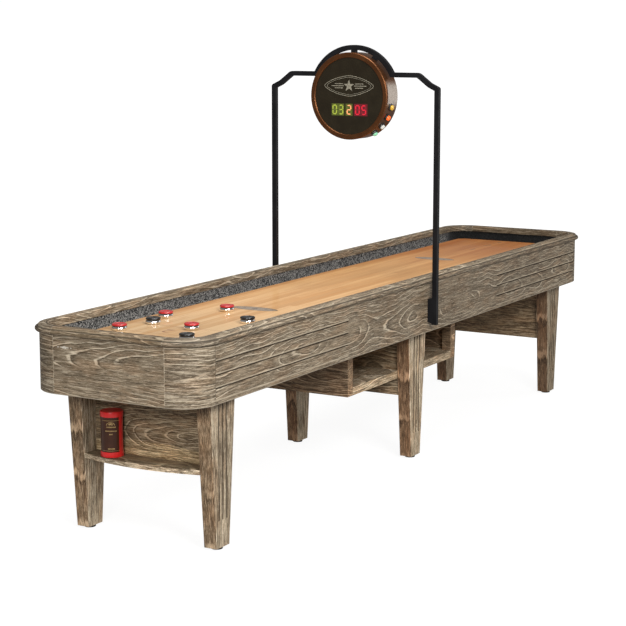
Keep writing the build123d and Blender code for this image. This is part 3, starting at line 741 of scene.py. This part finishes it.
def dress_wood():
    """Every oak board: its grain, log's heart, noise seed, tone and finish."""
    for side, sign, seed in (("right", -1, 1.0), ("left", 1, 21.0)):
        heart = (sign * SIDE_FACE, APRON_MIDDLE - 0.02)
        dress_oak(f"side_apron_{side}", f"side_{side}", "x", heart, seed, 0.90, groove_shade_and_wear)
        heart = (sign * (SIDE_FACE + RAIL_HEART_OUT), RAIL_HEART)
        dress_oak(f"top_rail_{side}", f"rail_{side}", "x", heart, seed + 40.0, 0.84, rail_shade_and_wear)
    for place, sign, seed, tone in (("near", -1, 33.0, 0.66), ("far", 1, 55.0, 0.55)):
        heart = (sign * END_FACE, APRON_MIDDLE + 0.03)
        dress_oak(f"end_apron_{place}", f"end_{place}", "y", heart, seed, 0.93, worn_and_lit_foot)
        heart = (sign * (END_FACE + RAIL_HEART_OUT), RAIL_HEART)
        dress_oak(f"top_rail_{place}", f"rail_{place}", "y", heart, seed + 40.0, tone, rail_shade_and_wear,
                  (1.0, 0.95, 0.88))
    dress_oak("corner_blocks", "corners", "corner", (0.0, APRON_MIDDLE), 61.0, 0.88, corner_finish)
    dress_oak("top_rail_corners", "rail_corners", "corner", (0.0, RAIL_HEART), 71.0, 0.68, rail_corner_finish)
    # Painted shade on the legs' faces that look along the table: lighter on the near legs, darker on the
    # others
    pale_side_shade, dark_side_shade = (0.76, 0.66, 0.58), (0.46, 0.34, 0.27)
    legs = (("near", -LEG_X, 80.0, 1.35, pale_side_shade), ("mid", 0.0, 89.0, 1.80, dark_side_shade),
            ("far", LEG_X, 98.0, 1.15, dark_side_shade))
    for place, x, seed, tone, edge in legs:
        for side, sign in (("right", -1), ("left", 1)):
            heart = (sign * (LEG_Y + 0.10), x + 0.14)
            dress_oak(f"leg_{place}_{side}", f"leg_{place}_{side}", "z", heart, seed + 4.0 * sign, tone,
                      leg_flute_and_side_shade(edge), sweep=0.05)
    dress_oak("leg_panels", "panels", "y", (0.0, 0.40), 101.0, 0.88, panel_lit_foot, (1.0, 0.92, 0.82))
    dress_oak("end_shelves", "shelves", "y", (-LEG_X, 0.25), 111.0, 1.8, shelf_top_shade)
    dress_oak("box_floors", "box_floor", "x", (0.0, 0.30), 121.0, 1.1, lit_box_edges)
    dress_oak("box_ends", "box_ends", "y", (0.0, 0.45), 131.0, 0.80, lit_box_edges, (1.0, 0.86, 0.76))


def dress_rest():
    """Everything that isn't oak."""
    dress(plain_timber(), "gutter_board", "cross_beams", "cradle_blocks")
    dress(carpet(), "gutter_carpet")
    dress(maple(), "playfield")
    dress(zinc(), "adjuster_hardware", "turnbuckle_near", "turnbuckle_far", "leg_bolts")
    black = painted_metal("black_coat", (0.006, 0.006, 0.007))
    dress(black, "arch_brackets", "bracket_bolts", "arch_uprights", "arch_top", "drum_tabs")
    foot = painted_metal("black_foot", (0.012, 0.011, 0.010), 0.55)
    dress(foot, *[name for name in NODES if name.startswith("leveller_")])
    dress(bronze("bronze_band", True), "drum_shell")
    dress(bronze("bronze_rim"), "drum_rim")
    dress(printed_face(), "drum_face")
    dress(plastic("dark_moulding", (0.02, 0.02, 0.022), 0.5, 0.0), "digit_modules", "button_switches")
    dress(circuit(), "circuit_board")


# ---- pucks

def make_puck(name, cap_material, base_material, waist_material):
    """A turned steel base with a dark waist, and a moulded cap with a ring and a button on top."""
    low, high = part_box(name)
    centre = Vector(((low.x + high.x) / 2, (low.y + high.y) / 2, low.z))
    r = (high.x - low.x) / 2
    h = high.z - low.z
    place = Matrix.Translation(centre)
    split = h * 0.68
    wall = split - 3.4 * MM
    parts = [step / 10 for step in range(11)]
    barrel = [(r - 1.9 * MM * (2 * part - 1) ** 2, 0.9 * MM + (wall - 0.9 * MM) * part) for part in parts]
    base = [(0, 0), (r - 3.6 * MM, 0), *barrel, (r - 3.2 * MM, wall + 0.5 * MM), (0, wall + 0.5 * MM)]
    waist = [(0, wall + 0.5 * MM), (r - 3.0 * MM, wall + 0.5 * MM), (r - 3.0 * MM, split), (0, split)]
    cap = [(0, split), (r - 2.0 * MM, split), (r - 0.7 * MM, split + 0.6 * MM),
           (r - 0.3 * MM, split + 1.8 * MM), (r - 0.4 * MM, h - 3.6 * MM), (r - 0.9 * MM, h - 2.2 * MM),
           (r - 2.2 * MM, h - 0.9 * MM), (r - 4.2 * MM, h - 0.2 * MM), (r - 6.5 * MM, h),
           (r - 7.6 * MM, h - 0.8 * MM), (r - 9.0 * MM, h - 1.4 * MM), (9.5 * MM, h - 1.5 * MM),
           (8.6 * MM, h - 1.1 * MM), (7.4 * MM, h - 0.9 * MM), (0, h - 0.8 * MM)]
    slot = "puck_" + name.split("_")[1]
    for part, outline, material in (("base", base, base_material), ("waist", waist, waist_material),
                                    ("cap", cap, cap_material)):
        piece = turned(f"{name}_{part}", outline, place, material, name, 72, 28.0)
        if part == "base":
            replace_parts(piece, name)


def make_pucks():
    """Four red and four black pucks."""
    steel = chrome()
    waist = plastic("puck_waist", (0.012, 0.012, 0.012), 0.5, 0.0)
    caps = {
        "red": plastic("puck_cap_red", (0.46, 0.020, 0.024), 0.20, 0.4),
        "black": plastic("puck_cap_black", (0.008, 0.008, 0.009), 0.25, 0.3),
    }
    for colour, cap in caps.items():
        for number in range(1, 5):
            make_puck(f"puck_{colour}_{number}", cap, steel, waist)


# ---- marks on the playing board

# Distances from the table's middle along x, the numerals' size, and the thickness of the printing
ZONE_LINES = (1.354, 1.510)
NUMERALS = (("1", 1.262), ("2", 1.445), ("3", 1.574))
NUMERAL_SIZE = 0.085
FIELD_OVAL_X = 0.852
INK = 0.00010
THIN_INK = 0.00006
LINE_INK = 0.00008


def flat_text(text, centre, turn, material, name):
    """A numeral lying on the board."""
    curve = bpy.data.curves.new(name, "FONT")
    curve.body = text
    curve.size = NUMERAL_SIZE
    curve.extrude = 0.00004
    curve.align_x = "CENTER"
    curve.align_y = "CENTER"
    maker = add_object(f"{name}_curve", curve)
    bpy.context.view_layer.update()
    mesh = bpy.data.meshes.new_from_object(maker.evaluated_get(bpy.context.evaluated_depsgraph_get()))
    bpy.data.objects.remove(maker)
    mesh.transform(Matrix.Translation(centre) @ Matrix.Rotation(turn, 4, "Z"))
    mesh.materials.clear()
    mesh.materials.append(material)
    piece = add_object(name, mesh)
    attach(piece, "table")


def make_board_marks():
    """Zone lines, numerals and a plain pointed oval with a small star near each end."""
    amber_ink = faded_ink("amber_ink", (0.20, 0.075, 0.02))
    grey_ink = faded_ink("grey_ink", (0.075, 0.058, 0.045))
    pale_ink = faded_ink("pale_ink", (0.24, 0.185, 0.135))
    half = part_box("playfield")[1].y - 0.004
    for end, sign in (("near", -1), ("far", 1)):
        bm = bmesh.new()
        for x in ZONE_LINES:
            place = Matrix.Translation((sign * x, 0, FIELD_TOP))
            bar(bm, (-0.0012, 0.0012), (-half, half), place, 0, LINE_INK)
        finish_mesh(bm, f"zone_lines_{end}", amber_ink, "table")
        for text, x in NUMERALS:
            spot = Vector((sign * x, 0, FIELD_TOP + THIN_INK))
            flat_text(text, spot, -sign * pi / 2, amber_ink, f"numeral_{text}_{end}")
        place = Matrix.Translation((sign * FIELD_OVAL_X, sign * 0.014, FIELD_TOP))
        bm = bmesh.new()
        prism(bm, field_oval(0.033, 0.100), place, 0, THIN_INK)
        finish_mesh(bm, f"oval_field_{end}", pale_ink, "table")
        bm = bmesh.new()
        band(bm, field_oval(0.034, 0.102), 0.0045, place, 0, INK)
        band(bm, field_oval(0.026, 0.084), 0.0020, place, 0, INK)
        prism(bm, star_points(0.020, 0.007, 4), place, 0, INK)
        for across in (-0.050, 0.050):
            prism(bm, circle_points(0.006, 24, (0.0, across)), place, 0, INK)
        finish_mesh(bm, f"oval_lines_{end}", grey_ink, "table")


# ---- canister

# Which way its marks face, how far the gilt stands off the card, and the marks' heights, widths and spacing
CANISTER_FACING = radians(-150)
GILT = (0.0001, 0.0003)
FAN_FOOT = 0.122
DASH_PITCH = 0.0045
DASH_ROWS = ((0.116, 0.040), (0.101, 0.046), (0.089, 0.014), (0.034, 0.030))
RULE_HEIGHTS = (0.128 + 0.012, 0.026)
RULE_START = -0.036
RULE_STEP = 0.004


def wrap(bm, centre, radius, facing):
    """Bend flat work, x across and y up, round a vertical tube."""
    for vert in bm.verts:
        across, up, lift = vert.co
        angle = facing - across / radius
        reach = radius + lift
        vert.co = Vector((centre.x + reach * cos(angle), centre.y + reach * sin(angle), centre.z + up))


def make_canister():
    """Powder tube: printed card with gilt marks, red cap at each end."""
    low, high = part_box("canister_body")
    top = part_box("canister_lid")[1].z
    centre = Vector(((low.x + high.x) / 2, (low.y + high.y) / 2, low.z))
    r = (high.x - low.x) / 2
    h = top - low.z
    red = plastic("canister_cap_red", (0.72, 0.018, 0.018), 0.30, 0.15)
    card = label_card(centre)
    place = Matrix.Translation(centre)
    wall = r - 1.5 * MM
    tube = [(0, 2.0 * MM), (wall, 2.0 * MM), (wall, h - 4.5 * MM), (wall - 1.4 * MM, h - 4.0 * MM),
            (wall - 1.4 * MM, 3.0 * MM), (0, 3.0 * MM)]
    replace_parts(turned("canister_tube", tube, place, card, "canister"), "canister_body")
    cup = [(0, 0), (r - 1.2 * MM, 0), (r - 0.3 * MM, 0.5 * MM), (r, 1.6 * MM), (r, 17.5 * MM),
           (r - 0.3 * MM, 19.0 * MM), (wall + 0.1 * MM, 20.0 * MM), (wall + 0.1 * MM, 1.8 * MM),
           (0, 1.8 * MM)]
    turned("canister_cup", cup, place, red, "canister")
    lid_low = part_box("canister_lid")[0].z - low.z
    lid = [(wall + 0.35 * MM, lid_low), (r - 0.2 * MM, lid_low + 0.3 * MM), (r, lid_low + 1.2 * MM),
           (r, h - 2.2 * MM), (r - 0.5 * MM, h - 0.8 * MM), (r - 1.8 * MM, h), (r - 4.0 * MM, h),
           (r - 5.0 * MM, h - 0.8 * MM), (0, h - 0.8 * MM), (0, h - 2.0 * MM),
           (wall + 0.35 * MM, h - 2.0 * MM)]
    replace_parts(turned("canister_cap", lid, place, red, "canister_lid"), "canister_lid")
    make_canister_marks(centre, wall)


def make_canister_marks(centre, wall):
    """A gilt fan, rows of dashes that stand for print, and a rule above and below them."""
    bm = bmesh.new()
    flat = Matrix.Identity(4)
    edge = [(0.016 * sin(a), FAN_FOOT + 0.012 * cos(a)) for a in [radians(d) for d in range(-90, 91, 15)]]
    band(bm, edge, 0.0016, flat, *GILT, closed=False)
    for degrees in range(-75, 76, 15):
        a = radians(degrees)
        low, high = FAN_FOOT + 0.003 * cos(a), FAN_FOOT + 0.0098 * cos(a)
        prism(bm, [(0.004 * sin(a) - 0.0006, low), (0.004 * sin(a) + 0.0006, low),
                   (0.013 * sin(a) + 0.0009, high), (0.013 * sin(a) - 0.0009, high)], flat, *GILT)
    for up, wide in DASH_ROWS:
        for step in range(int(wide / DASH_PITCH)):
            x = -wide / 2 + DASH_PITCH * (step + 0.5)
            bar(bm, (x - 0.0014, x + 0.0014), (up - 0.0022, up + 0.0022), flat, *GILT)
    for up in RULE_HEIGHTS:
        for step in range(18):
            x = RULE_START + RULE_STEP * step
            bar(bm, (x, x + RULE_STEP), (up - 0.0005, up + 0.0005), flat, *GILT)
    wrap(bm, centre, wall, CANISTER_FACING)
    finish_mesh(bm, "canister_marks", gilt(), "canister")


# ---- scorer

# Work on the drum's face: x across to the right and y up from the drum's axis
FACE_PLACE = Matrix.Translation((DRUM_FACE, 0, 0)) @ Matrix((
    (0, 0, -1, 0), (-1, 0, 0, 0), (0, 1, 0, DRUM_Z), (0, 0, 0, 1)))

# Lit bars of a seven-bar digit, and each digit's size, spacing and height on the face
SEGMENTS = {"0": "abcdef", "2": "abged", "3": "abgcd", "5": "afgcd"}
DIGIT_WIDE, DIGIT_TALL, BAR_THICK = 0.0175, 0.037, 0.0052
DIGIT_PITCH = 0.031
DIGIT_HEIGHT = -0.0585
WINDOW_HALF = 0.026
EMBLEM_UP = 0.044

# How far each layer stands off the drum's face, from its back to its front
WINDOW_LAYER = (0.0001, 0.0009)
DIGIT_LAYER = (0.0009, 0.0016)
LINE_LAYER = (0.0001, 0.0008)


def segment_outline(which):
    """One bar of a seven-bar digit, pointed at both ends, with a gap to its neighbours."""
    w, t = DIGIT_WIDE / 2, DIGIT_TALL / 2
    lines = {
        "a": ((-w, t), (w, t)), "g": ((-w, 0), (w, 0)), "d": ((-w, -t), (w, -t)),
        "f": ((-w, 0), (-w, t)), "b": ((w, 0), (w, t)), "e": ((-w, -t), (-w, 0)), "c": ((w, -t), (w, 0)),
    }
    start, end = (Vector(point) for point in lines[which])
    way = (end - start).normalized()
    start, end = start + way * 0.0008, end - way * 0.0008
    taper = way * BAR_THICK / 2
    across = Vector((-way.y, way.x)) * BAR_THICK / 2
    return [start, start + taper + across, end - taper + across, end, end - taper - across,
            start + taper - across]


def make_digits():
    """Lit figures in three windows: two places, one place, two places. The windows and the unlit bars also
    glow faintly, as painted light.
    """
    green = plastic("lit_green", (0.25, 0.30, 0.035), 0.4, 0.0, 0.65)
    amber = plastic("lit_amber", (0.75, 0.30, 0.13), 0.4, 0.0, 0.65)
    red = plastic("lit_red", (0.48, 0.010, 0.025), 0.4, 0.0, 0.7)
    # The windows and the unlit bars below glow though nothing lights them: painted light
    window = {
        "green": plastic("window_green", (0.050, 0.060, 0.008), 0.3, 0.2, 0.75),
        "red": plastic("window_red", (0.085, 0.004, 0.008), 0.3, 0.2, 0.75),
    }
    dim = {
        "green": plastic("unlit_green", (0.085, 0.105, 0.016), 0.4, 0.0, 0.5),
        "red": plastic("unlit_red", (0.16, 0.008, 0.014), 0.4, 0.0, 0.5),
    }
    groups = (("left", "03", -0.054, green, "green", 0.062), ("middle", "2", 0.001, amber, "green", 0.034),
              ("right", "05", 0.058, red, "red", 0.066))
    for name, text, across, lit, tint, wide in groups:
        bm = bmesh.new()
        bar(bm, (across - wide / 2, across + wide / 2),
            (DIGIT_HEIGHT - WINDOW_HALF, DIGIT_HEIGHT + WINDOW_HALF), FACE_PLACE, *WINDOW_LAYER)
        finish_mesh(bm, f"window_{name}", window[tint], "table")
        on = bmesh.new()
        off = bmesh.new()
        for place, figure in enumerate(text):
            x = across + (place - (len(text) - 1) / 2) * DIGIT_PITCH
            spot = FACE_PLACE @ Matrix.Translation((x, DIGIT_HEIGHT, 0))
            for which in "abcdefg":
                target = on if which in SEGMENTS[figure] else off
                prism(target, segment_outline(which), spot, *DIGIT_LAYER)
        finish_mesh(on, f"figure_{name}", lit, "table")
        finish_mesh(off, f"figure_off_{name}", dim[tint], "table")


def make_emblem():
    """A plain cartouche with a star and pinstripes, in tarnished silver."""
    silver = faded_ink("tarnished_silver", (0.17, 0.155, 0.115))
    spot = FACE_PLACE @ Matrix.Translation((0, EMBLEM_UP, 0))
    bm = bmesh.new()
    for half_x, half_y, line in ((0.120, 0.044, 0.0022), (0.108, 0.037, 0.0012)):
        band(bm, oval(half_x, half_y, OVAL_POWER, OVAL_POWER, 96), line, spot, *LINE_LAYER)
    prism(bm, star_points(0.027, 0.011, 5), spot, *WINDOW_LAYER)
    for sign in (-1, 1):
        for rise, start, end in ((0.009, 0.030, 0.070), (0.0, 0.026, 0.086), (-0.009, 0.030, 0.070)):
            bar(bm, sorted((sign * start, sign * end)), (rise - 0.0016, rise + 0.0016), spot, *LINE_LAYER)
    finish_mesh(bm, "face_emblem", silver, "table")


# Each button's angle below the drum's right, its colour and its glow
BUTTONS = {
    "yellow": (14.0, (0.62, 0.36, 0.03), 0.25), "red": (28.0, (0.90, 0.12, 0.015), 0.8),
    "white": (42.0, (0.75, 0.75, 0.70), 0.1), "green": (56.0, (0.25, 0.62, 0.38), 0.3),
}
# Distances from the drum's axis
SCREW_CIRCLE = 0.168
BUTTON_BASE, BUTTON_TOP = 0.181, 0.2035
COLLAR_FOOT, COLLAR_EDGE, COLLAR_RIDGE, COLLAR_TOP, COLLAR_LIP = 0.1845, 0.1905, 0.1932, 0.1938, 0.1930


def make_buttons():
    """Domed push buttons in ribbed black collars, on the drum's band."""
    collar_black = plastic("collar_black", (0.014, 0.013, 0.013), 0.4, 0.1)
    for name, (degrees, colour, glow) in BUTTONS.items():
        low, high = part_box(f"button_{name}")
        x = (low.x + high.x) / 2
        r = (high.x - low.x) / 2
        turn = radians(degrees)
        axis = Vector((0, -cos(turn), -sin(turn)))
        place = frame_from(Vector((x, 0, DRUM_Z)), axis)
        base, top = BUTTON_BASE, BUTTON_TOP
        dome = [(0, base), (r - 0.5 * MM, base), (r, base + 0.5 * MM), (r, top - 6.0 * MM),
                (r - 0.6 * MM, top - 3.6 * MM), (r - 2.4 * MM, top - 1.7 * MM),
                (r - 5.4 * MM, top - 0.5 * MM), (0, top)]
        lens = plastic(f"button_{name}_lens", colour, 0.2, 0.4, glow)
        body = f"button_{name}"
        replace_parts(turned(f"button_cap_{name}", dome, place, lens, body, 48, 50.0), body)
        collar = [(r + 0.9 * MM, COLLAR_FOOT), (r + 4.6 * MM, COLLAR_FOOT), (r + 4.6 * MM, COLLAR_EDGE),
                  (r + 3.6 * MM, COLLAR_RIDGE), (r + 1.6 * MM, COLLAR_TOP), (r + 0.9 * MM, COLLAR_LIP)]
        turned(f"button_collar_{name}", collar, place, collar_black, "table", 48)


def make_drum_back():
    """Six screws round the drum's back plate."""
    steel = zinc()
    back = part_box("drum_shell")[1].x
    bm = bmesh.new()
    for step in range(6):
        a = radians(30 + 60 * step)
        spot = (back - 0.002, SCREW_CIRCLE * sin(a), DRUM_Z + SCREW_CIRCLE * cos(a))
        place = frame_from(spot, (1, 0, 0))
        lathe(bm, [(0, 0), (3.6 * MM, 0), (3.6 * MM, 0.8 * MM), (2.6 * MM, 1.6 * MM), (0.9 * MM, 1.9 * MM),
                   (0.8 * MM, 1.1 * MM), (0, 1.1 * MM)], place, 24)
    finish_mesh(bm, "drum_back_screws", steel, "table")


# ---- cabinet marks

INLAY_Y, INLAY_Z = 0.190, 0.742


def make_inlays():
    """A small plain metal lozenge between two dots, let into the near end board."""
    metal = faded_ink("inlay_pewter", (0.42, 0.38, 0.32))
    place = Matrix(((0, 0, -1, -END_FACE), (-1, 0, 0, INLAY_Y), (0, 1, 0, INLAY_Z), (0, 0, 0, 1)))
    bm = bmesh.new()
    prism(bm, [(-0.022, 0), (0, 0.005), (0.022, 0), (0, -0.005)], place, 0.0, 0.0006)
    for across in (-0.029, 0.029):
        prism(bm, circle_points(0.0022, 16, (across, 0)), place, 0.0, 0.0006)
    finish_mesh(bm, "end_inlay", metal, "table")


# ---- stage, light and camera

def make_stage():
    """Soft warm surroundings that the camera sees as white, and a pale floor that glows white far out."""
    world = bpy.data.worlds.new("studio_white")
    bpy.context.scene.world = world
    world.use_nodes = True
    tree = world.node_tree
    soft = tree.nodes["Background"]
    soft.inputs["Color"].default_value = (1.0, 0.96, 0.91, 1)
    soft.inputs["Strength"].default_value = 0.25
    bright = tree.nodes.new("ShaderNodeBackground")
    bright.inputs["Color"].default_value = (1, 1, 1, 1)
    bright.inputs["Strength"].default_value = 1.02
    seen = tree.nodes.new("ShaderNodeLightPath")
    mix = tree.nodes.new("ShaderNodeMixShader")
    tree.links.new(seen.outputs["Is Camera Ray"], mix.inputs[0])
    tree.links.new(soft.outputs[0], mix.inputs[1])
    tree.links.new(bright.outputs[0], mix.inputs[2])
    tree.links.new(mix.outputs[0], tree.nodes["World Output"].inputs["Surface"])

    bm = bmesh.new()
    bmesh.ops.create_grid(bm, x_segments=1, y_segments=1, size=60.0)
    mesh = bpy.data.meshes.new("studio_floor")
    bm.to_mesh(mesh)
    bm.free()
    floor = add_object("studio_floor", mesh)
    paper = Graph("white_paper", roughness=1.0, specular=0.0)
    paper.colour((0.16, 0.16, 0.16, 1.0))
    paper.shader.inputs["Emission Color"].default_value = (1, 1, 1, 1)
    x, y, _ = paper.split(paper.place)
    white = paper.math("MULTIPLY_ADD", paper.step(paper.length(x, y), 1.6, 3.4), 0.14, 0.66)
    seen_floor = paper.node("LightPath").outputs["Is Camera Ray"]
    glow = paper.math("MULTIPLY_ADD", seen_floor, white, 0.26)
    paper.plug(paper.shader.inputs["Emission Strength"], glow)
    mesh.materials.append(paper.material)


def soft_box(name, place, target, size, power):
    """A rectangular area light, in watts, turned to its target."""
    light = bpy.data.lights.new(name, "AREA")
    light.shape = "RECTANGLE"
    light.size, light.size_y = size
    light.energy = power
    lamp = add_object(name, light)
    lamp.location = place
    lamp.rotation_euler = (Vector(target) - Vector(place)).to_track_quat("-Z", "Y").to_euler()


def make_lights():
    """Key from the near right, a wide top light, a fill at the near end and a strip for the drum's band."""
    soft_box("key", (-3.4, -4.1, 3.3), (-1.2, 0, 0.6), (2.0, 1.5), 235)
    soft_box("top", (-0.5, -0.3, 4.2), (-0.4, 0, 0.7), (3.2, 1.6), 105)
    soft_box("front_fill", (-5.6, -1.7, 2.2), (-1.6, 0, 0.4), (0.9, 0.9), 88)
    soft_box("drum_strip", (3.6, -2.3, 1.7), (0, -0.2, 1.6), (0.5, 2.6), 16)


def make_camera():
    """Off the near right corner, at the height of the scorer."""
    lens = bpy.data.cameras.new("camera")
    lens.sensor_width = 36.0
    lens.lens = 100.18
    lens.clip_end = 200.0
    camera = add_object("camera", lens)
    camera.location = (-6.7158, -3.6335, 1.8940)
    camera.rotation_euler = (radians(80.514), 0.0, radians(-60.242))
    bpy.context.scene.camera = camera


make_camera()
make_stage()
make_lights()
bpy.context.scene.view_settings.view_transform = "Standard"
dress_wood()
dress_rest()
make_pucks()
make_board_marks()
make_canister()
make_digits()
make_emblem()
make_buttons()
make_drum_back()
make_inlays()
